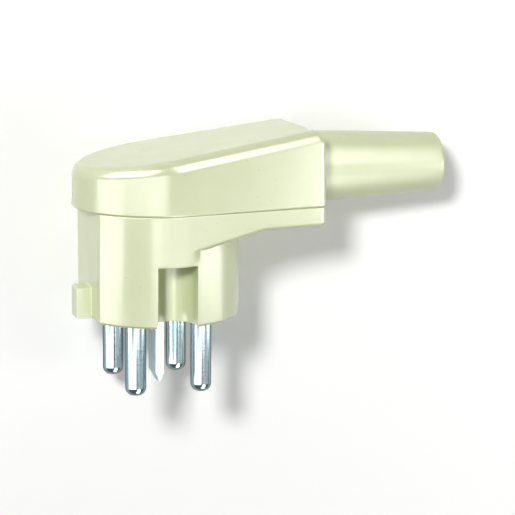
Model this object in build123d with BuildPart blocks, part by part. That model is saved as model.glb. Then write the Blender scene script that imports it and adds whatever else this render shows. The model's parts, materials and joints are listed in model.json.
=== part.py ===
from build123d import *
from math import cos, radians, sin, tan
import os

# Right-angled five-pin three-phase plug: a moulded base that carries the contacts, a sloping teardrop
# cover over it, and a tapered sleeve for the cord. It is drawn upright, in millimetres: the origin is the
# centre of the pin face, the pins point to -Z, the cord leaves towards +X, the key groove opens to -Y.
# A loose plug cannot stand on its pins, so at the end every piece is laid on the plug's side.

# Housing outline, seen from above
cover_radius = 24.45     # round end of the cover at the parting plane
arm_end = 46.3           # from the pin axis to the cover's end wall
arm_taper = 7.85         # degrees by which each side wall of the arm closes in
end_corner = 2.6         # upright corners of the arm's end
least_corner = 0.4       # of the same corners inside
overhang = 0.25          # how far the cover stands out over the base
flat_depth = 4.0         # how much the flat takes off the round base
flat_edge_round = 1.3
wall = 2.4
wall_run_in = 0.03       # the arm's walls run into the round body this far under its surface
base_draft = 0.6         # degrees, the base narrows towards the pins
cover_draft = 1.8        # degrees, the cover narrows towards its top

# Heights above the pin face
parting_height = 31.8
top_height = 47.5        # sloping top, measured above the pin axis
top_slope = 8.5          # degrees, rising towards the cord
top_round = 3.8
roof = 2.4
lip_chamfer = 0.4
arm_depth = 5.6          # of the base's arm, under the parting plane
gusset_end = 26.3        # where the sloping underside becomes level
gusset_angle = 13.1      # degrees
gusset_bend = 14.0
arm_edge_round = 1.2
floor_thickness = 3.6
rim_chamfer = 0.6

# Key groove in front and key nub on the flat
groove_width = 11.5
groove_depth = 10.6      # from the outside of the base to the groove's round inner end
groove_height = 17.5
groove_wall = 2.2
nub_width = 7.4
nub_height = 9.0
nub_chamfer = 0.5

# Contacts
pin_radius = 3.0
stem_radius = 2.8        # the pin's stem inside the base
pin_length = 21.0
pin_tip_round = 2.3
pin_angle = 53.7         # degrees between the cord's direction and each round pin
blade_width = 8.2
blade_thickness = 2.4
blade_length = 20.6
blade_point = 3.0        # height of the blade's pointed end
blade_tip_width = 3.2
blade_tip_thickness = 0.8
blade_tip_shift = 0.7    # the blade is ground from one side, so its tip lies towards the cord
boss_radius = 5.2
boss_gap = 0.25          # between the bosses and the base's inner wall
head_radius = 4.6
head_height = 10.5
wire_hole_radius = 1.8
wire_hole_height = 4.2   # above the underside of the terminal head
contact_clearance = 0.05

# Plate that holds the contacts down
plate_thickness = 1.5
plate_margin = 1.0       # between the plate and the base's inner wall
plate_access = 3.4
plate_post_radius = 3.3
plate_post_gap = 2.9     # between the posts and the base's inner wall

# Cord sleeve and its seat in the end wall
sleeve_drop = 2.4        # from the cover's top down to the sleeve's root
sleeve_root_radius = 10.7
sleeve_tip_radius = 8.85
sleeve_length = 40.4     # from the cover's end wall
sleeve_tip_chamfer = 0.6
sleeve_bore_radius = 6.75
neck_radius = 8.6
flange_radius = 9.2
flange_thickness = 2.0
seat_clearance = 0.1
cradle_thickness = 2.0   # half-round support under the sleeve's neck

# Tongue on the base's rim, which enters a rebate in the cover
tongue_thickness = 1.0
tongue_height = 1.6
tongue_clearance = 0.15
ledge_height = 3.2       # solid edge of the cover over the flat

# Cord clamp
clamp_setback = 18.3     # from the cover's end wall to the clamp
clamp_drop = 1.8         # from the sleeve's axis down to the axis of the clamped cord
clamp_grip_radius = 5.9
clamp_post_radius = 3.6
clamp_post_drop = 2.5    # from the axis of the clamped cord down to the bar's ears
clamp_bar_width = 6.0
clamp_bar_thickness = 2.8
clamp_bar_corner = 2.4
clamp_arch = 2.0
clamp_head_gap = 0.5     # between the arch and the heads of the clamp's screws
saddle_rib = 1.6
saddle_gap = 2.4

# Screws and threaded inserts
cover_screw_radius = 2.0
cover_head_radius = 3.4
cover_head_height = 2.4
cover_screw_grip = 7.2   # length of thread inside the cover's insert
rear_head_depth = 4.0
arm_screw_setback = 9.7  # from the cover's end wall
arm_head_depth = 2.8
tower_radius = 4.2
tower_bite = 0.6         # how far the rear tower runs into the wall behind the flat
tower_gap = 0.35         # between the other towers and the arm's walls
cover_insert_length = 8.0
small_screw_radius = 1.5
small_head_radius = 2.8
small_head_height = 1.8
small_insert_length = 6.0
insert_wall = 0.8
screw_clearance = 0.1
terminal_screw_radius = 1.9
terminal_head_radius = 2.9
terminal_head_height = 2.2

# Values that follow from those above
tau = radians(arm_taper)
base_radius = cover_radius - overhang
round_radius = base_radius + wall_run_in
inner_radius = round_radius - wall
flat_distance = base_radius - flat_depth
nub_reach = cover_radius
arm_underside = parting_height - arm_depth
blank_height = top_height + cover_radius - parting_height
deck_height = groove_height + groove_wall
head_top = deck_height + head_height
groove_radius = groove_width / 2
groove_reach = base_radius - groove_depth
groove_centre = groove_reach + groove_radius
pin_circle = inner_radius - boss_gap - boss_radius
pin_x = pin_circle * cos(radians(pin_angle))
pin_y = pin_circle * sin(radians(pin_angle))
plate_post_y = inner_radius - plate_post_gap - plate_post_radius
sleeve_height = top_height + arm_end * tan(radians(top_slope)) - sleeve_drop - sleeve_root_radius
sleeve_end = arm_end + sleeve_length
flange_lean = (sleeve_height + flange_radius - parting_height) * tan(radians(cover_draft))
neck_start = arm_end - wall - flange_lean - seat_clearance
flange_start = neck_start - flange_thickness
clamp_height = sleeve_height - clamp_drop
clamp_post_top = clamp_height - clamp_post_drop
clamp_x = arm_end - clamp_setback
clamp_y = clamp_grip_radius + clamp_arch + clamp_head_gap + small_head_radius
rear_screw_x = wall + tower_radius - tower_bite - flat_distance
arm_screw_x = arm_end - arm_screw_setback
arm_screw_y = (base_radius - wall - arm_screw_x * sin(tau)) / cos(tau) - tower_gap - tower_radius
top_plane = Plane(origin=(0, 0, top_height), x_dir=(0, 1, 0),
                  z_dir=(-sin(radians(top_slope)), 0, cos(radians(top_slope))))
roof_plane = top_plane.offset(-roof)
pin_places = {"front_left": (-pin_x, -pin_y), "front_right": (pin_x, -pin_y),
              "back_left": (-pin_x, pin_y), "back_right": (pin_x, pin_y)}
terminal_places = dict(pin_places, earth=(0, 0))
plate_screw_places = {"front": (0, -plate_post_y), "back": (0, plate_post_y)}
plate_post_feet = {"front": groove_height + groove_wall / 2, "back": floor_thickness / 2}
clamp_places = {"front": (clamp_x, -clamp_y), "back": (clamp_x, clamp_y)}
arm_screw_places = {"front": (arm_screw_x, -arm_screw_y), "back": (arm_screw_x, arm_screw_y)}
cover_screw_seats = {"rear": (rear_screw_x, 0, rear_head_depth)}
for side, (x, y) in arm_screw_places.items():
    cover_screw_seats[side] = (x, y, arm_underside + arm_head_depth)


def top_at(x):
    """Height of the sloping top above the pin face, at a distance x from the pin axis."""
    return top_height + x * tan(radians(top_slope))


def gusset_at(x):
    """Height of the sloping underside of the arm, before it becomes level."""
    return arm_underside - (gusset_end - x) * tan(radians(gusset_angle))


def outline(inset, flat=False):
    """Teardrop seen from above, moved inwards by inset.

    A circle about the pin axis runs tangent into two walls that close in towards the cord, and the
    far corners are rounded. With flat, the side away from the cord is cut off straight."""
    radius = cover_radius - inset
    far = arm_end - inset
    touch_x = radius * sin(tau)
    touch_y = radius * cos(tau)
    half = (radius - far * sin(tau)) / cos(tau)
    with BuildSketch() as plan:
        with BuildLine():
            Polyline((touch_x, -touch_y), (far, -half), (far, half), (touch_x, touch_y))
            ThreePointArc((touch_x, touch_y), (-radius, 0), (touch_x, -touch_y))
        make_face()
        fillet(vertices().group_by(Axis.X)[-1], max(end_corner - inset, least_corner))
        if flat:
            with Locations((inset - overhang - flat_distance, 0)):
                Rectangle(radius, 3 * radius, align=(Align.MAX, Align.CENTER), mode=Mode.SUBTRACT)
    return plan.sketch


def arm_side(raise_by):
    """Side view of the arm, from its underside raised by raise_by up to the parting plane."""
    level = arm_underside + raise_by
    with BuildSketch() as side:
        with BuildLine():
            underside = FilletPolyline((0, gusset_at(0) + raise_by), (gusset_end, level),
                                       (2 * arm_end, level), radius=gusset_bend)
            Polyline(underside @ 1, (2 * arm_end, parting_height), (0, parting_height), underside @ 0)
        make_face()
    return side.sketch


def groove_plan(extra, reach_out):
    """Plan of the key groove, widened by extra, from its round inner end out to reach_out."""
    radius = groove_radius + extra
    with BuildSketch() as plan:
        with Locations((0, -groove_centre)):
            Circle(radius)
            Rectangle(2 * radius, reach_out, align=(Align.CENTER, Align.MAX))
        with Locations((0, -reach_out)):
            Rectangle(4 * radius, 4 * reach_out, align=(Align.CENTER, Align.MAX), mode=Mode.SUBTRACT)
    return plan.sketch


def make_screw(x, y, seat, up, head_radius, head_height, radius, length):
    """Screw whose head rests on the height seat. Its shank points up where up is 1 and down where it is -1."""
    with BuildPart() as screw:
        with BuildSketch(Plane.XY.offset(seat)):
            with Locations((x, y)):
                Circle(head_radius)
        extrude(amount=-up * head_height)
        with BuildSketch(Plane.XY.offset(seat)):
            with Locations((x, y)):
                Circle(radius)
        extrude(amount=up * length)
    return screw


def make_insert(x, y, bottom, length, radius):
    """Threaded bush, moulded in, for a screw of the given radius."""
    with BuildPart() as insert:
        with BuildSketch(Plane.XY.offset(bottom)):
            with Locations((x, y)):
                Circle(radius + insert_wall)
                Circle(radius + contact_clearance, mode=Mode.SUBTRACT)
        extrude(amount=length)
    return insert


def make_contact(x, y, pin):
    """Contact with its terminal head: a round pin, or the flat earth blade where pin is False."""
    with BuildPart() as contact:
        if pin:
            with BuildSketch(Plane.XY.offset(-pin_length)):
                with Locations((x, y)):
                    Circle(pin_radius)
            extrude(amount=pin_length)
            fillet(edges().group_by(Axis.Z)[0], pin_tip_round)
            with BuildSketch():
                with Locations((x, y)):
                    Circle(stem_radius)
            extrude(amount=deck_height)
        else:
            with BuildSketch(Plane.XY.offset(blade_point - blade_length)):
                with Locations((x, y)):
                    Rectangle(blade_thickness, blade_width)
            extrude(amount=blade_length - blade_point + deck_height)
            with BuildSketch(Plane.XY.offset(blade_point - blade_length)):
                with Locations((x, y)):
                    Rectangle(blade_thickness, blade_width)
            with BuildSketch(Plane.XY.offset(-blade_length)):
                with Locations((x + blade_tip_shift, y)):
                    Rectangle(blade_tip_thickness, blade_tip_width)
            loft()
        with BuildSketch(Plane.XY.offset(deck_height)):
            with Locations((x, y)):
                Circle(head_radius)
        extrude(amount=head_height)
        # Wire hole across the head, towards the cord, and the screw's hole down into it
        with BuildSketch(Plane.YZ.offset(x - 2 * head_radius)):
            with Locations((y, deck_height + wire_hole_height)):
                Circle(wire_hole_radius)
        extrude(amount=4 * head_radius, mode=Mode.SUBTRACT)
        with BuildSketch(Plane.XY.offset(head_top)):
            with Locations((x, y)):
                Circle(terminal_screw_radius + contact_clearance)
        extrude(amount=wire_hole_height - head_height, mode=Mode.SUBTRACT)
    return contact


# Arm of the base, under the parting plane: the outline closes in downwards, the underside slopes up out
# of the round body and then runs level, and its long edges are rounded before it joins the body.
with BuildPart() as arm_block:
    with BuildSketch(Plane.XY.offset(parting_height)):
        add(outline(overhang))
    extrude(amount=-parting_height, taper=base_draft)
    with BuildSketch(Plane.XZ):
        add(arm_side(0))
    extrude(amount=2 * cover_radius, both=True, mode=Mode.INTERSECT)
    low = edges().filter_by(lambda e: e.bounding_box().max.Z < parting_height - 1)
    ends = low.filter_by(lambda e: e.center().X > arm_end - 2 * end_corner)
    sides = low.filter_by(lambda e: abs(e.center().Y) > end_corner and e.center().X > 0.1)
    fillet(list(dict.fromkeys(sides + ends)), arm_edge_round)

# Room inside the arm, a wall's thickness from the outside
with BuildPart() as arm_room:
    with BuildSketch(Plane.XY.offset(parting_height)):
        add(outline(overhang + wall))
    extrude(amount=-parting_height, taper=base_draft)
    with BuildSketch(Plane.XZ):
        add(arm_side(wall))
    extrude(amount=2 * cover_radius, both=True, mode=Mode.INTERSECT)

# Nub on the flat, with its outer edges broken
with BuildPart() as nub_block:
    with BuildSketch():
        with Locations((-nub_reach, 0)):
            Rectangle(nub_reach - flat_distance + wall / 2, nub_width, align=(Align.MIN, Align.CENTER))
    extrude(amount=nub_height)
    chamfer(faces().sort_by(Axis.X)[0].edges().sort_by(Axis.Z)[1:], nub_chamfer)

# Wall and roof of the key groove, inside the base
with BuildPart() as groove_pocket:
    with BuildSketch():
        add(groove_plan(groove_wall, inner_radius + wall / 4))
    extrude(amount=deck_height)
    with BuildSketch():
        add(groove_plan(0, 2 * cover_radius))
    extrude(amount=groove_height, mode=Mode.SUBTRACT)

# Room for the sleeve's flange, and the way for its neck through the end wall
with BuildPart() as sleeve_seat:
    for start, radius, length in ((flange_start, flange_radius, flange_thickness), (neck_start, neck_radius, 2 * wall)):
        with BuildSketch(Plane.YZ.offset(start - seat_clearance)):
            with Locations((0, sleeve_height)):
                Circle(radius + seat_clearance)
        extrude(amount=length + 2 * seat_clearance)

# Base housing
with BuildPart() as base_housing:
    with BuildSketch(Plane.XY.offset(parting_height)):
        Circle(round_radius)
    extrude(amount=-parting_height, taper=base_draft)
    with BuildSketch():
        with Locations((-flat_distance, 0)):
            Rectangle(cover_radius, 3 * cover_radius, align=(Align.MAX, Align.CENTER))
    extrude(amount=parting_height, mode=Mode.SUBTRACT)
    flat_edges = edges().filter_by(lambda e: abs(e.center().Z - parting_height / 2) < 1 and e.center().X < 0)
    fillet(flat_edges.filter_by(lambda e: abs(e.center().Y) > nub_width), flat_edge_round)
    chamfer(faces().sort_by(Axis.Z)[0].edges(), rim_chamfer)
    add(arm_block.part)
    add(nub_block.part)

    # Key groove
    with BuildSketch():
        add(groove_plan(0, 2 * cover_radius))
    extrude(amount=groove_height, mode=Mode.SUBTRACT)

    # Hollow, from the floor up
    with BuildSketch(Plane.XY.offset(floor_thickness)):
        Circle(inner_radius)
        with Locations((wall - flat_distance, 0)):
            Rectangle(cover_radius, 3 * cover_radius, align=(Align.MAX, Align.CENTER), mode=Mode.SUBTRACT)
    extrude(amount=parting_height, mode=Mode.SUBTRACT)
    add(arm_room.part, mode=Mode.SUBTRACT)

    # Pocket round the key groove, contact bosses and posts
    add(groove_pocket.part)
    with BuildSketch():
        with Locations(*terminal_places.values()):
            Circle(boss_radius)
    extrude(amount=deck_height)
    for side, (x, y) in plate_screw_places.items():
        foot = plate_post_feet[side]
        with BuildSketch(Plane.XY.offset(foot)):
            with Locations((x, y)):
                Circle(plate_post_radius)
        extrude(amount=head_top - foot)
    with BuildSketch(Plane.XY.offset(floor_thickness / 2)):
        with Locations((rear_screw_x, 0)):
            Circle(tower_radius)
    extrude(amount=parting_height - floor_thickness / 2)
    with BuildSketch(Plane.XY.offset(arm_underside + wall / 2)):
        with Locations(*arm_screw_places.values()):
            Circle(tower_radius)
    extrude(amount=parting_height - arm_underside - wall / 2)

    # Posts and half-round ribs of the cord clamp
    with BuildSketch(Plane.XY.offset(arm_underside + wall / 2)):
        with Locations(*clamp_places.values()):
            Circle(clamp_post_radius)
        with Locations((clamp_x, 0)):
            with GridLocations(saddle_gap + saddle_rib, 0, 2, 1):
                Rectangle(saddle_rib, 2 * clamp_y)
    extrude(amount=clamp_post_top - arm_underside - wall / 2)
    with BuildSketch(Plane.YZ.offset(clamp_x - clamp_post_radius)):
        with Locations((0, clamp_height)):
            Circle(clamp_grip_radius)
    extrude(amount=2 * clamp_post_radius, mode=Mode.SUBTRACT)

    # Tongue along the rim, and a raised cradle for the sleeve's neck in the end wall
    with BuildSketch(Plane.XY.offset(parting_height)):
        add(outline(overhang + wall - tongue_thickness, flat=True))
        add(outline(overhang + wall, flat=True), mode=Mode.SUBTRACT)
    extrude(amount=tongue_height)

    with BuildSketch(Plane.YZ.offset(arm_end - overhang - wall)):
        with Locations((0, parting_height)):
            Rectangle(2 * (neck_radius + seat_clearance - tongue_clearance), sleeve_height - parting_height,
                      align=(Align.CENTER, Align.MIN))
    extrude(amount=cradle_thickness)
    add(sleeve_seat.part, mode=Mode.SUBTRACT)

    # Contact holes and blade slot
    with BuildSketch():
        with Locations(*pin_places.values()):
            Circle(pin_radius + contact_clearance)
        Rectangle(blade_thickness + 2 * contact_clearance, blade_width + 2 * contact_clearance)
    extrude(amount=deck_height, mode=Mode.SUBTRACT)

    # Holes for the cover screws, with a recess for each head
    for x, y, seat in cover_screw_seats.values():
        with BuildSketch():
            with Locations((x, y)):
                Circle(cover_screw_radius + screw_clearance)
        extrude(amount=parting_height, mode=Mode.SUBTRACT)
        with BuildSketch():
            with Locations((x, y)):
                Circle(cover_head_radius + screw_clearance)
        extrude(amount=seat, mode=Mode.SUBTRACT)

    # Seats of the inserts for the plate and the clamp
    for places, height in ((plate_screw_places, head_top), (clamp_places, clamp_post_top)):
        with BuildSketch(Plane.XY.offset(height)):
            with Locations(*places.values()):
                Circle(small_screw_radius + insert_wall)
        extrude(amount=-small_insert_length, mode=Mode.SUBTRACT)

# Room under the cover's roof
with BuildPart() as cover_room:
    with BuildSketch(Plane.XY.offset(parting_height)):
        add(outline(wall))
    extrude(amount=blank_height, taper=cover_draft)
    split(bisect_by=roof_plane, keep=Keep.BOTTOM)
    with BuildSketch(Plane.XY.offset(parting_height)):
        with Locations((wall - flat_distance - overhang, 0)):
            Rectangle(cover_radius, 3 * cover_radius, align=(Align.MAX, Align.CENTER))
    extrude(amount=ledge_height, mode=Mode.SUBTRACT)

# Top cover
with BuildPart() as top_cover:
    with BuildSketch(Plane.XY.offset(parting_height)):
        add(outline(0))
    extrude(amount=blank_height, taper=cover_draft)
    split(bisect_by=top_plane, keep=Keep.BOTTOM)
    fillet(faces().sort_by(Axis.Z)[-1].edges(), top_round)
    chamfer(edges().group_by(Axis.Z)[0], lip_chamfer)
    add(cover_room.part, mode=Mode.SUBTRACT)

    # Posts for the cover screws, up into the roof
    for x, y, seat in cover_screw_seats.values():
        with BuildSketch(Plane.XY.offset(parting_height)):
            with Locations((x, y)):
                Circle(tower_radius)
        extrude(amount=top_at(x) - roof / 2 - parting_height)
        with BuildSketch(Plane.XY.offset(parting_height)):
            with Locations((x, y)):
                Circle(cover_screw_radius + insert_wall)
        extrude(amount=cover_insert_length, mode=Mode.SUBTRACT)

    # Rebate for the base's tongue, and the opening for the sleeve's neck
    with BuildSketch(Plane.XY.offset(parting_height)):
        add(outline(overhang + wall - tongue_thickness - tongue_clearance, flat=True))
        add(outline(overhang + wall + tongue_clearance, flat=True), mode=Mode.SUBTRACT)
    extrude(amount=tongue_height + tongue_clearance, mode=Mode.SUBTRACT)
    add(sleeve_seat.part, mode=Mode.SUBTRACT)
    with BuildSketch(Plane.YZ.offset(neck_start)):
        with Locations((0, sleeve_height)):
            Rectangle(2 * (neck_radius + seat_clearance), sleeve_height, align=(Align.CENTER, Align.MAX))
    extrude(amount=2 * wall, mode=Mode.SUBTRACT)

# Cord sleeve, turned about its own axis. Its root is moulded to the lean of the end wall.
end_wall = Plane(origin=(arm_end + seat_clearance, 0, parting_height), x_dir=(0, 1, 0),
                 z_dir=(cos(radians(cover_draft)), 0, sin(radians(cover_draft))))
with BuildPart() as cord_sleeve:
    with BuildSketch(Plane.XZ):
        with BuildLine():
            Polyline((arm_end - wall, sleeve_height), (arm_end - wall, sleeve_height + sleeve_root_radius),
                     (sleeve_end, sleeve_height + sleeve_tip_radius), (sleeve_end, sleeve_height), close=True)
        make_face()
    revolve(axis=Axis((0, 0, sleeve_height), (1, 0, 0)))
    split(bisect_by=end_wall, keep=Keep.TOP)
    chamfer(edges().filter_by(GeomType.CIRCLE).sort_by(Axis.X)[-1], sleeve_tip_chamfer)
    for start, radius, stop in ((flange_start, flange_radius, neck_start), (neck_start, neck_radius, arm_end + 1)):
        with BuildSketch(Plane.YZ.offset(start)):
            with Locations((0, sleeve_height)):
                Circle(radius)
        extrude(amount=stop - start)
    with BuildSketch(Plane.YZ.offset(flange_start)):
        with Locations((0, sleeve_height)):
            Circle(sleeve_bore_radius)
    extrude(amount=sleeve_end - flange_start, mode=Mode.SUBTRACT)

# Plate that holds the contacts down
with BuildPart() as contact_plate:
    with BuildSketch(Plane.XY.offset(head_top)):
        Circle(inner_radius - plate_margin)
        with Locations((wall + plate_margin - flat_distance, 0)):
            Rectangle(cover_radius, 3 * cover_radius, align=(Align.MAX, Align.CENTER), mode=Mode.SUBTRACT)
        with Locations(*terminal_places.values()):
            Circle(plate_access, mode=Mode.SUBTRACT)
        with Locations((rear_screw_x, 0)):
            Circle(tower_radius + plate_margin / 2, mode=Mode.SUBTRACT)
        with Locations(*plate_screw_places.values()):
            Circle(small_screw_radius + screw_clearance, mode=Mode.SUBTRACT)
        with Locations((clamp_x - clamp_post_radius - plate_margin, 0)):
            Rectangle(clamp_x, 3 * cover_radius, align=(Align.MIN, Align.CENTER), mode=Mode.SUBTRACT)
    extrude(amount=plate_thickness)

# Cord clamp: two flat ears on the posts and an arch over the cord
with BuildPart() as clamp_bar:
    with BuildSketch(Plane.YZ.offset(clamp_x - clamp_bar_width / 2)):
        with Locations((0, clamp_height)):
            Circle(clamp_grip_radius + clamp_arch)
            Rectangle(4 * clamp_y, 4 * clamp_y, align=(Align.CENTER, Align.MAX), mode=Mode.SUBTRACT)
        with Locations((0, clamp_post_top)):
            Rectangle(2 * (clamp_y + clamp_post_radius), clamp_bar_thickness, align=(Align.CENTER, Align.MIN))
        with Locations((0, clamp_height)):
            Circle(clamp_grip_radius, mode=Mode.SUBTRACT)
    extrude(amount=clamp_bar_width)
    ear_corners = edges().filter_by(Axis.Z).filter_by(lambda e: abs(e.center().Y) > clamp_y)
    fillet(ear_corners, clamp_bar_corner)
    with BuildSketch(Plane.XY.offset(clamp_post_top)):
        with Locations(*clamp_places.values()):
            Circle(small_screw_radius + screw_clearance)
    extrude(amount=clamp_bar_thickness, mode=Mode.SUBTRACT)

pieces = {"base_housing": base_housing, "top_cover": top_cover, "cord_sleeve": cord_sleeve,
          "contact_plate": contact_plate, "clamp_bar": clamp_bar, "earth_blade": make_contact(0, 0, False)}
for side, (x, y) in pin_places.items():
    pieces["pin_" + side] = make_contact(x, y, True)
for side, (x, y) in terminal_places.items():
    pieces["terminal_screw_" + side] = make_screw(x, y, head_top, -1, terminal_head_radius, terminal_head_height,
                                                  terminal_screw_radius, head_height - wire_hole_height)
for kind, places, foot, cover in (("plate", plate_screw_places, head_top, plate_thickness),
                                  ("clamp", clamp_places, clamp_post_top, clamp_bar_thickness)):
    for side, (x, y) in places.items():
        pieces[f"{kind}_insert_{side}"] = make_insert(x, y, foot - small_insert_length, small_insert_length,
                                                      small_screw_radius)
        pieces[f"{kind}_screw_{side}"] = make_screw(x, y, foot + cover, -1, small_head_radius, small_head_height,
                                                    small_screw_radius, cover + small_insert_length)
for side, (x, y, seat) in cover_screw_seats.items():
    pieces["cover_insert_" + side] = make_insert(x, y, parting_height, cover_insert_length, cover_screw_radius)
    pieces["cover_screw_" + side] = make_screw(x, y, seat, 1, cover_head_radius, cover_head_height,
                                               cover_screw_radius, parting_height + cover_screw_grip - seat)

# The plug lies on the arm's side wall: its front turns up, and then the arm's taper brings that wall level.
lying = Rotation(0, arm_taper, 0) * Rotation(-90, 0, 0)
os.makedirs("parts", exist_ok=True)
for label, piece in pieces.items():
    piece.part = lying * piece.part
    piece.part.label = label
    export_step(piece.part, f"parts/{label}.step")
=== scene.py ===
import json
from math import atan2, cos, pi, radians, sin, tan
import bmesh
import bpy
import numpy as np
from mathutils import Matrix, Vector


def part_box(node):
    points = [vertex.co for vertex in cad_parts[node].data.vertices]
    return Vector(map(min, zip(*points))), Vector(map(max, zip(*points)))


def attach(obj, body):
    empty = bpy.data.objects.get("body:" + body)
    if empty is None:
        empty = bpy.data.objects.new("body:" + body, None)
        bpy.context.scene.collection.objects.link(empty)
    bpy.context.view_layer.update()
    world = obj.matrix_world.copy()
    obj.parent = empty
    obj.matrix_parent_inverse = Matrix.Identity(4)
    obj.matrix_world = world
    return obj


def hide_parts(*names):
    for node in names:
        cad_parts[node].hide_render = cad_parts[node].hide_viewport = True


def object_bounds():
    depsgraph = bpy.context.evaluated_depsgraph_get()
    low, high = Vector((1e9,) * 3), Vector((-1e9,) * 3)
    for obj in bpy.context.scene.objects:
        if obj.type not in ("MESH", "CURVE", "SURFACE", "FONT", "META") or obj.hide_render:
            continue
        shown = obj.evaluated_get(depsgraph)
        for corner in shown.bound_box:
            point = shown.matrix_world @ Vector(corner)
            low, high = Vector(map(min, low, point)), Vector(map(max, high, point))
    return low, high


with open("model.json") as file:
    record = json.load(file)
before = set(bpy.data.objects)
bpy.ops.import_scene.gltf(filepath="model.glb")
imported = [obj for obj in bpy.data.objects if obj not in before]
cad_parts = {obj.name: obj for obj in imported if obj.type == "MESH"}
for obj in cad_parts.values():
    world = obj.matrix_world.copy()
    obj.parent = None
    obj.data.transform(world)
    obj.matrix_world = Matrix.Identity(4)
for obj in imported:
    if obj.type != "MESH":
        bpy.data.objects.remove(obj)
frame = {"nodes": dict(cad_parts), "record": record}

# Right-angled five-pin plug, lying on the side wall of its arm. The camera looks down on it.
# All places below are given in the plug's own upright axes, in millimetres, and laid down by one matrix:
# pins along -Z, cord towards +X, key groove towards -Y, origin in the middle of the pin face.

cadBox = [list(corner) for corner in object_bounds()]
mm = 0.001
mergeDistance = 0.000002  # points nearer than this, in metres, are one
scene = bpy.context.scene
cordAxis = next(mount["axis"] for mount in frame["record"]["mounts"] if mount["name"] == "cord_entry")
armTaper = atan2(-cordAxis[2], cordAxis[0])  # lean of the cord's axis, with the side wall flat on the floor
layDown = Matrix.Rotation(armTaper, 4, "Y") @ Matrix.Rotation(-pi / 2, 4, "X")
print("frame loaded,", len(frame["nodes"]), "nodes")


# Hex colour as linear red, green, blue, alpha
def srgb(code):
    parts = [int(code[i:i + 2], 16) / 255 for i in (1, 3, 5)]
    return [p / 12.92 if p <= 0.04045 else ((p + 0.055) / 1.055) ** 2.4 for p in parts] + [1.0]


# One shader node: its properties, its socket values, and what feeds its sockets
def addNode(tree, kind, settings=None, values=None, links=None):
    node = tree.nodes.new(kind)
    for name, value in (settings or {}).items():
        setattr(node, name, value)
    for name, value in (values or {}).items():
        node.inputs[name].default_value = value
    for name, source in (links or {}).items():
        tree.links.new(source, node.inputs[name])
    return node


def newMaterial(name):
    material = bpy.data.materials.new(name)
    material.use_nodes = True
    material.node_tree.nodes.clear()
    return material, material.node_tree


# A Mix node names its colour sockets as its number sockets, so they go by their place in it
colourA, colourB, colourResult = 6, 7, 2

# Ivory urea plastic, compression moulded in a polished tool: glossy and a little milky, with a faint
# cloudiness where the powder flowed, a few darker specks, and a slight orange-peel ripple that softens the
# reflections. Real specks are finer, and are drawn as coarse as it takes to show them.
ureaLook = {"light": "#C7CDA8", "dark": "#BDC49B", "speck": "#9DA576",
            "mottleMm": 9.0, "mottleDetail": 4.0, "mottleRoughness": 0.55,
            "speckMm": 0.9, "speckDetail": 1.0, "speckFrom": 0.76, "speckTo": 0.84,
            "rippleMm": 3.5, "rippleDetail": 2.0, "rippleDepthMm": 0.012, "rippleStrength": 0.35,
            "roughness": 0.22, "specular": 0.5, "ior": 1.56, "coat": 0.1, "coatRoughness": 0.1}
# The sleeve's softer plastic has the same colour and a satin gloss
sleevePlasticLook = dict(ureaLook, roughness=0.32, coat=0.0, rippleMm=5.0)


def mouldedPlastic(name, look):
    material, tree = newMaterial(name)
    place = addNode(tree, "ShaderNodeTexCoord").outputs["Object"]
    mottle = addNode(tree, "ShaderNodeTexNoise",
                     values={"Scale": 1 / (look["mottleMm"] * mm), "Detail": look["mottleDetail"],
                             "Roughness": look["mottleRoughness"]},
                     links={"Vector": place})
    tint = addNode(tree, "ShaderNodeMix", {"data_type": "RGBA"},
                   values={colourA: srgb(look["dark"]), colourB: srgb(look["light"])},
                   links={"Factor": mottle.outputs["Fac"]})
    grain = addNode(tree, "ShaderNodeTexNoise",
                    values={"Scale": 1 / (look["speckMm"] * mm), "Detail": look["speckDetail"]},
                    links={"Vector": place})
    speck = addNode(tree, "ShaderNodeMapRange",
                    values={"From Min": look["speckFrom"], "From Max": look["speckTo"]},
                    links={"Value": grain.outputs["Fac"]})
    colour = addNode(tree, "ShaderNodeMix", {"data_type": "RGBA"},
                     values={colourB: srgb(look["speck"])},
                     links={"Factor": speck.outputs["Result"], colourA: tint.outputs[colourResult]})
    ripple = addNode(tree, "ShaderNodeTexNoise",
                     values={"Scale": 1 / (look["rippleMm"] * mm), "Detail": look["rippleDetail"]},
                     links={"Vector": place})
    bump = addNode(tree, "ShaderNodeBump",
                   values={"Strength": look["rippleStrength"], "Distance": look["rippleDepthMm"] * mm},
                   links={"Height": ripple.outputs["Fac"]})
    skin = addNode(tree, "ShaderNodeBsdfPrincipled",
                   values={"Roughness": look["roughness"], "IOR": look["ior"],
                           "Specular IOR Level": look["specular"], "Coat Weight": look["coat"],
                           "Coat Roughness": look["coatRoughness"]},
                   links={"Base Color": colour.outputs[colourResult], "Normal": bump.outputs["Normal"]})
    addNode(tree, "ShaderNodeOutputMaterial", links={"Surface": skin.outputs["BSDF"]})
    return material


# Metals: a stretched noise gives the tool's marks, as a change of colour, of roughness and of height. Real
# marks are finer, and are drawn as coarse as it takes to show them. The sizes of a pattern run along the
# scene's X, Y and Z, in which the pins lie along Y, and the pattern is then turned by the arm's taper.
patternTurn = (0.0, armTaper, 0.0)
metalLook = {"markDetail": 3.0, "markRoughness": 0.6}
# Nickel plate on turned pins: bright and bluish, with faint rings, and darker where the pin curves away
nickelLook = dict(metalLook, light="#A3B3B5", dark="#82949A", edge="#6F8185", smooth=0.07, rough=0.16,
                  marksMm=(3.0, 0.35, 3.0), markDepthMm=0.004, markStrength=0.25)
# Nickel plate on the ground blade: paler and duller, with lines along the blade
groundNickelLook = dict(nickelLook, light="#DCE5E5", dark="#BECACB", smooth=0.32, rough=0.46,
                        marksMm=(0.3, 6.0, 0.3))
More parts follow.
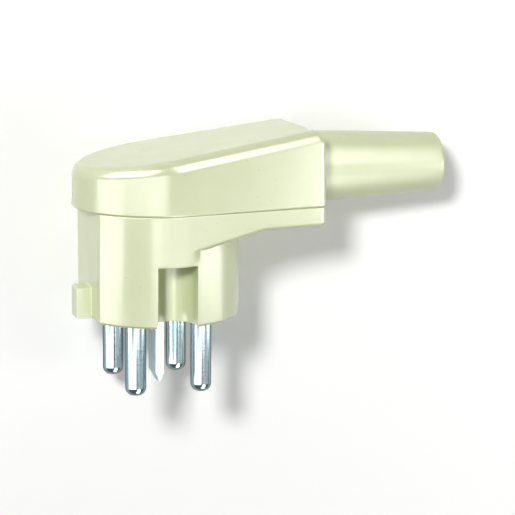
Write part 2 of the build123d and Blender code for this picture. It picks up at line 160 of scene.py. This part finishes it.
# Zinc plate on steel screws: even light grey with a soft, blotchy sheen
zincLook = dict(metalLook, light="#B9BBBB", dark="#94989A", edge="#8C9094", smooth=0.24, rough=0.42,
                marksMm=(1.1, 1.1, 1.1), markDepthMm=0.006, markStrength=0.3)
# Turned brass inserts: warm yellow with fine rings
brassLook = dict(metalLook, light="#D8B36A", dark="#B58E4B", edge="#C9A25A", smooth=0.18, rough=0.34,
                 marksMm=(2.0, 0.2, 2.0), markDepthMm=0.005, markStrength=0.3)


def workedMetal(name, look):
    material, tree = newMaterial(name)
    place = addNode(tree, "ShaderNodeTexCoord").outputs["Object"]
    stretch = addNode(tree, "ShaderNodeMapping",
                      values={"Rotation": patternTurn, "Scale": [1 / (size * mm) for size in look["marksMm"]]},
                      links={"Vector": place})
    marks = addNode(tree, "ShaderNodeTexNoise",
                    values={"Scale": 1.0, "Detail": look["markDetail"], "Roughness": look["markRoughness"]},
                    links={"Vector": stretch.outputs["Vector"]})
    tint = addNode(tree, "ShaderNodeMix", {"data_type": "RGBA"},
                   values={colourA: srgb(look["dark"]), colourB: srgb(look["light"])},
                   links={"Factor": marks.outputs["Fac"]})
    dull = addNode(tree, "ShaderNodeMapRange",
                   values={"To Min": look["smooth"], "To Max": look["rough"]},
                   links={"Value": marks.outputs["Fac"]})
    bump = addNode(tree, "ShaderNodeBump",
                   values={"Strength": look["markStrength"], "Distance": look["markDepthMm"] * mm},
                   links={"Height": marks.outputs["Fac"]})
    skin = addNode(tree, "ShaderNodeBsdfPrincipled",
                   values={"Metallic": 1.0, "Specular Tint": srgb(look["edge"])},
                   links={"Base Color": tint.outputs[colourResult], "Roughness": dull.outputs["Result"],
                          "Normal": bump.outputs["Normal"]})
    addNode(tree, "ShaderNodeOutputMaterial", links={"Surface": skin.outputs["BSDF"]})
    return material


filledLook = {"fibreDetail": 5.0, "fibreRoughness": 0.7, "strength": 0.4, "ior": 1.5}
# Hard paper board soaked in phenolic resin and punched: brown, with a fibrous cloudiness and a dull sheen
boardLook = dict(filledLook, light="#7A4A2A", dark="#4E2C18", fibreMm=(2.4, 2.4, 0.5), roughness=0.48,
                 depthMm=0.03)
# The clamp's moulded plastic: dark, with short pale fibres drawn near its surface
fibreLook = dict(filledLook, light="#6A625B", dark="#3B3734", fibreMm=(1.6, 0.3, 0.3), roughness=0.55,
                 depthMm=0.04)


def filledPlastic(name, look):
    material, tree = newMaterial(name)
    place = addNode(tree, "ShaderNodeTexCoord").outputs["Object"]
    stretch = addNode(tree, "ShaderNodeMapping",
                      values={"Rotation": patternTurn, "Scale": [1 / (size * mm) for size in look["fibreMm"]]},
                      links={"Vector": place})
    fibre = addNode(tree, "ShaderNodeTexNoise",
                    values={"Scale": 1.0, "Detail": look["fibreDetail"], "Roughness": look["fibreRoughness"]},
                    links={"Vector": stretch.outputs["Vector"]})
    tint = addNode(tree, "ShaderNodeMix", {"data_type": "RGBA"},
                   values={colourA: srgb(look["dark"]), colourB: srgb(look["light"])},
                   links={"Factor": fibre.outputs["Fac"]})
    bump = addNode(tree, "ShaderNodeBump",
                   values={"Strength": look["strength"], "Distance": look["depthMm"] * mm},
                   links={"Height": fibre.outputs["Fac"]})
    skin = addNode(tree, "ShaderNodeBsdfPrincipled",
                   values={"Roughness": look["roughness"], "IOR": look["ior"]},
                   links={"Base Color": tint.outputs[colourResult], "Normal": bump.outputs["Normal"]})
    addNode(tree, "ShaderNodeOutputMaterial", links={"Surface": skin.outputs["BSDF"]})
    return material


housingMaterial = mouldedPlastic("urea_moulded_ivory", ureaLook)
sleeveMaterial = mouldedPlastic("plastic_moulded_satin_ivory", sleevePlasticLook)
pinMaterial = workedMetal("nickel_plated_brass_turned", nickelLook)
bladeMaterial = workedMetal("nickel_plated_brass_ground", groundNickelLook)
screwMaterial = workedMetal("zinc_plated_steel", zincLook)
insertMaterial = workedMetal("brass_turned", brassLook)
plateMaterial = filledPlastic("phenolic_board_punched", boardLook)
clampMaterial = filledPlastic("fibre_filled_plastic_moulded", fibreLook)

# A CAD node takes its material by what its name holds, and what is left is the housing
nodeMaterials = {"pin_": pinMaterial, "earth_blade": bladeMaterial, "contact_plate": plateMaterial,
                 "clamp_bar": clampMaterial, "cord_sleeve": sleeveMaterial, "_screw_": screwMaterial,
                 "_insert_": insertMaterial}
for name, node in frame["nodes"].items():
    material = next((own for part, own in nodeMaterials.items() if part in name), housingMaterial)
    node.data.materials.clear()
    node.data.materials.append(material)
print("materials done")

layTurn = np.array(layDown.to_3x3())


def toScene(points):  # upright millimetres to scene metres, for a whole array of points
    return (points * mm) @ layTurn.T


def toUpright(place):  # a place in the scene back to upright millimetres
    return layTurn.T @ np.array(place) / mm


# Sheet of quads over a grid of points. Each row closes on itself. The last row joins the first, or with
# closedRows False each of the two shrinks to a pole or a seam, which addPiece merges. The whole is turned so
# that its signed volume is positive.
def gridPart(points, closedRows=True):
    rows, columns = points.shape[:2]
    index = np.arange(rows * columns).reshape(rows, columns)
    after = np.roll(index, -1, axis=0)
    quads = np.stack([index, np.roll(index, -1, axis=1), np.roll(after, -1, axis=1), after], axis=-1)
    quads = (quads if closedRows else quads[:-1]).reshape(-1, 4)
    flat = points.reshape(-1, 3)
    corner = flat[quads]
    volume = (np.cross(corner[:, 0], corner[:, 1]) * corner[:, 2]).sum() \
        + (np.cross(corner[:, 0], corner[:, 2]) * corner[:, 3]).sum()
    return flat, quads if volume > 0 else quads[:, ::-1]


# Points that coincide become one, and so do faces that lie within flatDegrees of one plane, where it is given
def mergeMesh(mesh, flatDegrees=0):
    work = bmesh.new()
    work.from_mesh(mesh)
    bmesh.ops.remove_doubles(work, verts=work.verts, dist=mergeDistance)
    if flatDegrees:
        bmesh.ops.dissolve_limit(work, angle_limit=radians(flatDegrees), verts=work.verts, edges=work.edges)
    work.to_mesh(mesh)
    work.free()


def finishPiece(name, mesh, material, nodes, sharpDegrees):
    mesh.polygons.foreach_set("use_smooth", np.ones(len(mesh.polygons), dtype=bool))
    mesh.set_sharp_from_angle(angle=radians(sharpDegrees))
    mesh.materials.clear()
    mesh.materials.append(material)
    piece = bpy.data.objects.new(name, mesh)
    scene.collection.objects.link(piece)
    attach(piece, "root")
    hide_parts(*nodes)
    return piece


def addPiece(name, parts, material, nodes, sharpDegrees):
    first, points, quads = 0, [], []
    for flat, faces in parts:
        points.append(toScene(flat))
        quads.append(faces + first)
        first += len(flat)
    mesh = bpy.data.meshes.new(name)
    mesh.from_pydata(np.concatenate(points).tolist(), [], np.concatenate(quads).tolist())
    mergeMesh(mesh)
    finishPiece(name, mesh, material, nodes, sharpDegrees)


# Moulded and stamped pieces: the CAD form, merged to whole faces, with its edges rolled over as a mould or a
# punch leaves them. The normals follow the large faces, so that flats stay flat.
softLook = {"segments": 3, "edgeDegrees": 32, "flatDegrees": 0.5,
            "widthMm": {"baseShell": 0.25, "coverShell": 0.25, "contactPlate": 0.15, "clampBar": 0.3,
                        "earthBlade": 0.15}}


def softenedPiece(name, node, material):
    mesh = frame["nodes"][node].data.copy()
    mergeMesh(mesh, softLook["flatDegrees"])
    piece = finishPiece(name, mesh, material, [node], softLook["edgeDegrees"])
    bevel = piece.modifiers.new("rolledEdges", "BEVEL")
    bevel.width = softLook["widthMm"][name] * mm
    bevel.segments = softLook["segments"]
    bevel.limit_method = "ANGLE"
    bevel.angle_limit = radians(softLook["edgeDegrees"])
    bevel.use_clamp_overlap = False
    bevel.miter_outer = "MITER_ARC"
    normals = piece.modifiers.new("faceNormals", "WEIGHTED_NORMAL")
    normals.keep_sharp = True


softenedPiece("baseShell", "base_housing", housingMaterial)
softenedPiece("coverShell", "top_cover", housingMaterial)
softenedPiece("contactPlate", "contact_plate", plateMaterial)
softenedPiece("clampBar", "clamp_bar", clampMaterial)
softenedPiece("earthBlade", "earth_blade", bladeMaterial)
print("housing, plate, clamp and blade done")

# Cord sleeve, turned about the cord's axis. Profile: flange, neck, a root that leans with the end wall, a
# straight taper to the tip, a rounded lip, and the bore.
sleeveLook = {"height": 41.32, "wallX": 46.4, "leanDegrees": 1.8, "partingHeight": 31.8, "slack": 0.01,
              "flangeX": 41.21, "flangeRadius": 9.2, "neckX": 43.21, "neckRadius": 8.6,
              "taperFrom": 43.9, "rootRadius": 10.7, "rootRound": 0.3, "tipX": 86.7, "tipRadius": 8.85,
              "lip": 1.1, "boreRadius": 6.75, "steps": 96, "taperSteps": 14, "lipSteps": 9, "sharpDegrees": 40}


def sleevePart(look):
    wallX, tipX, lip, bore = look["wallX"], look["tipX"], look["lip"], look["boreRadius"]
    rootRound = look["rootRound"]
    slope = (look["tipRadius"] - look["rootRadius"]) / (tipX - look["taperFrom"])
    rootRadius = look["rootRadius"] + (wallX - look["taperFrom"]) * slope
    endRadius = look["tipRadius"] - lip - lip * slope
    lipArc = np.radians(np.linspace(0, 90, look["lipSteps"]))[1:]
    taperX = np.linspace(wallX + rootRound, tipX - lip, look["taperSteps"])
    outer = [(look["flangeX"], bore), (look["flangeX"], look["flangeRadius"]),
             (look["neckX"], look["flangeRadius"]), (look["neckX"], look["neckRadius"]),
             (wallX, look["neckRadius"]), (wallX, rootRadius - rootRound)]
    outer += [(x, look["rootRadius"] + (x - look["taperFrom"]) * slope) for x in taperX]
    outer += [(tipX - lip + lip * sin(turn), endRadius + lip * cos(turn)) for turn in lipArc]
    outer += [(tipX, bore + rootRound), (tipX - rootRound, bore)]
    x, radius = (column[:, None] for column in np.array(outer).T)
    angle = np.linspace(0, 2 * pi, look["steps"], endpoint=False)
    z = look["height"] + radius * np.sin(angle)
    y = radius * np.cos(angle)
    # Only what touches the end wall leans with it
    leaning = (np.abs(x - wallX) <= rootRound + look["slack"]) * tan(radians(look["leanDegrees"]))
    return gridPart(np.stack([x - leaning * (z - look["partingHeight"]), y, z], axis=-1))


addPiece("cordSleeve", [sleevePart(sleeveLook)], sleeveMaterial, ["cord_sleeve"],
         sleeveLook["sharpDegrees"])
print("sleeve done")

# Slotted cheese-head screws. Head: rows across the slot, each a loop of half-chords of the round edge, and
# lower inside the slot. Shank: radius less a ridge that climbs one pitch a turn, and a cone at the tip.
screwLook = {"slotWidth": 0.9, "slotShare": 0.5, "slotMargin": 0.05, "edge": 0.25, "headRows": 12,
             "pitchShare": 0.36, "depthShare": 0.14, "rowsPerPitch": 6, "steps": 32, "tip": 0.7,
             "tipSlope": 0.6, "bite": 0.15, "turnStep": 1.1, "sharpDegrees": 35}
screwKinds = {"cover_screw": {"head": 3.4, "headHeight": 2.4, "radius": 2.0, "thread": 9.0, "headUp": False},
              "terminal_screw": {"head": 2.9, "headHeight": 2.2, "radius": 1.9, "thread": 6.0, "headUp": True},
              "plate_screw": {"head": 2.8, "headHeight": 1.8, "radius": 1.5, "thread": 6.0, "headUp": True},
              "clamp_screw": {"head": 2.8, "headHeight": 1.8, "radius": 1.5, "thread": 6.0, "headUp": True}}


def headPart(look, kind, turn):
    radius, height, half, edge = kind["head"], kind["headHeight"], look["slotWidth"] / 2, look["edge"]
    side = -radius * np.cos(np.linspace(0, pi / 2, look["headRows"]))
    side = side[side < -half - look["slotMargin"]]
    rowY = np.concatenate([side, [-half, -half, half, half], -side[::-1]])
    sunk = np.zeros(len(rowY))
    sunk[len(side) + 1:len(side) + 3] = look["slotShare"] * height
    # Levels up the head, and how far its edge draws in at each
    level = np.array([0, edge / 2, height / 2, height - edge, height - edge / 3, height])
    reach = radius - np.array([edge / 2, 0, 0, 0, edge / 2, edge])
    y = np.clip(rowY[:, None], -reach, reach)
    chord = np.sqrt(reach ** 2 - y ** 2)
    top = np.minimum(level, (height - sunk)[:, None])
    x = np.concatenate([chord, -chord[:, ::-1]], axis=1)
    y = np.concatenate([y, y[:, ::-1]], axis=1)
    z = np.concatenate([top, top[:, ::-1]], axis=1)
    return np.stack([x * cos(turn) - y * sin(turn), x * sin(turn) + y * cos(turn), z], axis=-1)


def shankPart(look, kind, length):
    angle = np.linspace(0, 2 * pi, look["steps"], endpoint=False)
    pitch, ridge = kind["radius"] * look["pitchShare"], kind["radius"] * look["depthShare"]
    thread = min(kind["thread"], length - pitch)
    threadRows = np.linspace(length - thread, length, int(thread / pitch * look["rowsPerPitch"]))
    plainRows = [-look["bite"], -look["bite"], (length - thread) / 2]
    down = np.concatenate([plainRows, threadRows, [length]])[:, None]
    phase = down / pitch - angle / (2 * pi)
    cut = ridge * np.abs(2 * (phase % 1) - 1) * (down > length - thread)
    radius = kind["radius"] - cut - np.maximum(down - length + look["tip"], 0) * look["tipSlope"]
    radius[[0, -1]] = 0
    return np.stack([radius * np.cos(angle), radius * np.sin(angle), -down + 0 * angle], axis=-1)


# Knurled bushes: radius less a tooth-shaped wave round the middle band, plain at both ends, with a plain bore
insertLook = {"teeth": 22, "tooth": 0.14, "plain": 0.7, "edge": 0.12, "wall": 0.75, "stepsPerTooth": 4,
              "coverRadius": 2.8, "smallRadius": 2.3, "sharpDegrees": 50}


def insertPart(look, radius, height):
    angle = np.linspace(0, 2 * pi, look["teeth"] * look["stepsPerTooth"], endpoint=False)
    edge, plain, bore = look["edge"], look["plain"], radius - look["wall"]
    # Radius, height, and 1 where it is knurled
    profile = np.array([(bore, 0, 0), (radius - edge, 0, 0), (radius, edge, 0), (radius, plain, 0),
                        (radius, plain + edge, 1), (radius, height - plain - edge, 1),
                        (radius, height - plain, 0), (radius, height - edge, 0), (radius - edge, height, 0),
                        (bore, height, 0)])
    ring, z, knurled = (column[:, None] for column in profile.T)
    ring = ring - knurled * look["tooth"] * (0.5 + 0.5 * np.cos(look["teeth"] * angle))
    return np.stack([ring * np.cos(angle), ring * np.sin(angle), z + 0 * angle], axis=-1)


def camelName(node):
    first, *rest = node.split("_")
    return first + "".join(word.capitalize() for word in rest)


# Screws and inserts stand in the boxes of their nodes, with their slots turned on by turnStep from node to node
for count, node in enumerate(sorted(frame["nodes"])):
    low, high = (toUpright(corner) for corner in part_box(node))
    centre, bottom, top = (low + high) / 2, min(low[2], high[2]), max(low[2], high[2])
    for kindName, kind in screwKinds.items():
        if node.startswith(kindName):
            seat = top - kind["headHeight"] if kind["headUp"] else bottom + kind["headHeight"]
            upwards = 1 if kind["headUp"] else -1
            place = np.array([centre[0], centre[1], seat])
            head = headPart(screwLook, kind, count * screwLook["turnStep"])
            shank = shankPart(screwLook, kind, top - bottom - kind["headHeight"])
            parts = [gridPart(part * [1, 1, upwards] + place, False) for part in (head, shank)]
            addPiece(camelName(node), parts, screwMaterial, [node], screwLook["sharpDegrees"])
    if "_insert_" in node:
        radius = insertLook["coverRadius" if node.startswith("cover") else "smallRadius"]
        bush = insertPart(insertLook, radius, top - bottom) + [centre[0], centre[1], bottom]
        addPiece(camelName(node), [gridPart(bush)], insertMaterial, [node],
                 insertLook["sharpDegrees"])
print("screws and inserts done")

# Pale floor under the lying plug, in metres
floorLook = {"size": 6.0, "colour": "#F0F0EF", "roughness": 0.8}
floorZ, half = cadBox[0][2], floorLook["size"] / 2
floorMesh = bpy.data.meshes.new("floor")
floorMesh.from_pydata([(x * half, y * half, floorZ) for x, y in ((-1, -1), (1, -1), (1, 1), (-1, 1))], [],
                      [(0, 1, 2, 3)])
floor = bpy.data.objects.new("floor", floorMesh)
scene.collection.objects.link(floor)
# Matt white paper: takes soft shadows and gives no gloss
floorMaterial, floorTree = newMaterial("matt_paper_white")
floorSkin = addNode(floorTree, "ShaderNodeBsdfPrincipled",
                    values={"Base Color": srgb(floorLook["colour"]), "Roughness": floorLook["roughness"]})
addNode(floorTree, "ShaderNodeOutputMaterial", links={"Surface": floorSkin.outputs["BSDF"]})
floorMesh.materials.append(floorMaterial)

# Camera, fitted to the photo. Angles are in degrees and the aim is in the upright axes.
cameraLook = {"yaw": -18.36, "pitch": 10.71, "roll": 0.53, "distance": 598.1, "aimX": 31.01, "aimZ": 14.54,
              "focalPixels": 2025.65, "framePixels": 515, "sensorMm": 36.0, "clipStart": 0.01}


def addCamera(look):
    yaw, pitch, roll = (radians(look[key]) for key in ("yaw", "pitch", "roll"))
    forward = Vector((-sin(yaw) * cos(pitch), cos(yaw) * cos(pitch), -sin(pitch)))
    right = Vector((cos(yaw), sin(yaw), 0.0))
    up = right.cross(forward)
    right, up = cos(roll) * right + sin(roll) * up, cos(roll) * up - sin(roll) * right
    place = Vector((look["aimX"], 0.0, look["aimZ"])) - forward * look["distance"]
    data = bpy.data.cameras.new("camera")
    data.sensor_width = look["sensorMm"]
    data.lens = look["focalPixels"] / look["framePixels"] * look["sensorMm"]
    data.clip_start = look["clipStart"]
    camera = bpy.data.objects.new("camera", data)
    scene.collection.objects.link(camera)
    turn = Matrix((right, up, -forward)).transposed().to_4x4()
    camera.matrix_world = layDown @ Matrix.Translation(place * mm) @ turn
    scene.camera = camera


addCamera(cameraLook)

# Studio: soft boxes round the plug. Azimuth is to the right of the camera, and elevation over the plane of the
# pin face. Lengths are in millimetres, and radiance in watts per square metre and steradian. The key and one
# fill light the plug, and the rest only show as its reflections: seen from the camera, the cover's walls mirror
# what lies near that plane, the base what lies 11 degrees under it, and the pins what lies 16 degrees under it,
# so each has its own strips and its own dark gaps.
lights = [
    {"name": "key", "gives": "diffuse", "azimuth": -14, "elevation": 23, "distance": 1000, "width": 160,
     "height": 160, "radiance": 101},
    {"name": "fillRight", "gives": "diffuse", "azimuth": 72, "elevation": -9, "distance": 450, "width": 270,
     "height": 170, "radiance": 5},
    {"name": "coverLeft", "gives": "gloss", "azimuth": -62, "elevation": 1, "distance": 600, "width": 520,
     "height": 150, "radiance": 7.5},
    {"name": "coverFront", "gives": "gloss", "azimuth": -11, "elevation": 1, "distance": 600, "width": 600,
     "height": 150, "radiance": 7.5},
    {"name": "coverRight", "gives": "gloss", "azimuth": 72, "elevation": 0, "distance": 440, "width": 300,
     "height": 120, "radiance": 11},
    {"name": "baseLeft", "gives": "gloss", "azimuth": -70, "elevation": -10.5, "distance": 600, "width": 640,
     "height": 75, "radiance": 9},
    {"name": "baseFront", "gives": "gloss", "azimuth": 22, "elevation": -10.5, "distance": 600, "width": 620,
     "height": 75, "radiance": 8},
    {"name": "baseRight", "gives": "gloss", "azimuth": 96, "elevation": -10.5, "distance": 440, "width": 760,
     "height": 80, "radiance": 8},
    {"name": "pinFront", "gives": "gloss", "azimuth": -35, "elevation": -19, "distance": 600, "width": 1000,
     "height": 100, "radiance": 4},
    {"name": "pinRight", "gives": "gloss", "azimuth": 55, "elevation": -19, "distance": 600, "width": 700,
     "height": 100, "radiance": 0.7},
    {"name": "boxHigh", "gives": "gloss", "azimuth": 40, "elevation": 37, "distance": 600, "width": 260,
     "height": 600, "radiance": 11},
    {"name": "boxLow", "gives": "gloss", "azimuth": 37, "elevation": -48, "distance": 600, "width": 300,
     "height": 560, "radiance": 11},
    {"name": "boxRidge", "gives": "gloss", "azimuth": -45, "elevation": 42, "distance": 600, "width": 700,
     "height": 420, "radiance": 13},
]
lightTarget = Vector((31.0, 0.0, 15.0))
upright = Vector((0.0, 0.0, 1.0))
across = Vector((cos(radians(cameraLook["yaw"])), sin(radians(cameraLook["yaw"])), 0.0))
towards = across.cross(upright)


def addLight(look):
    azimuth, elevation = radians(look["azimuth"]), radians(look["elevation"])
    level = across * sin(azimuth) + towards * cos(azimuth)
    direction = level * cos(elevation) + upright * sin(elevation)
    data = bpy.data.lights.new(look["name"], "AREA")
    data.shape = "RECTANGLE"
    data.size, data.size_y = look["width"] * mm, look["height"] * mm
    data.energy = pi * look["radiance"] * data.size * data.size_y
    lamp = bpy.data.objects.new(look["name"], data)
    lamp.visible_diffuse = look["gives"] == "diffuse"
    lamp.visible_glossy = look["gives"] == "gloss"
    scene.collection.objects.link(lamp)
    side = upright.cross(direction).normalized()
    turn = Matrix((side, direction.cross(side), direction)).transposed().to_4x4()
    lamp.matrix_world = layDown @ Matrix.Translation((lightTarget + direction * look["distance"]) * mm) @ turn


for light in lights:
    addLight(light)

# Even grey room, which fills the shadows
worldLook = {"colour": (0.9, 0.9, 0.9, 1), "strength": 0.24}
world = bpy.data.worlds.new("studio")
world.use_nodes = True
world.node_tree.nodes["Background"].inputs["Color"].default_value = worldLook["colour"]
world.node_tree.nodes["Background"].inputs["Strength"].default_value = worldLook["strength"]
scene.world = world
scene.view_settings.view_transform = "Standard"
print("floor, camera and lights done")
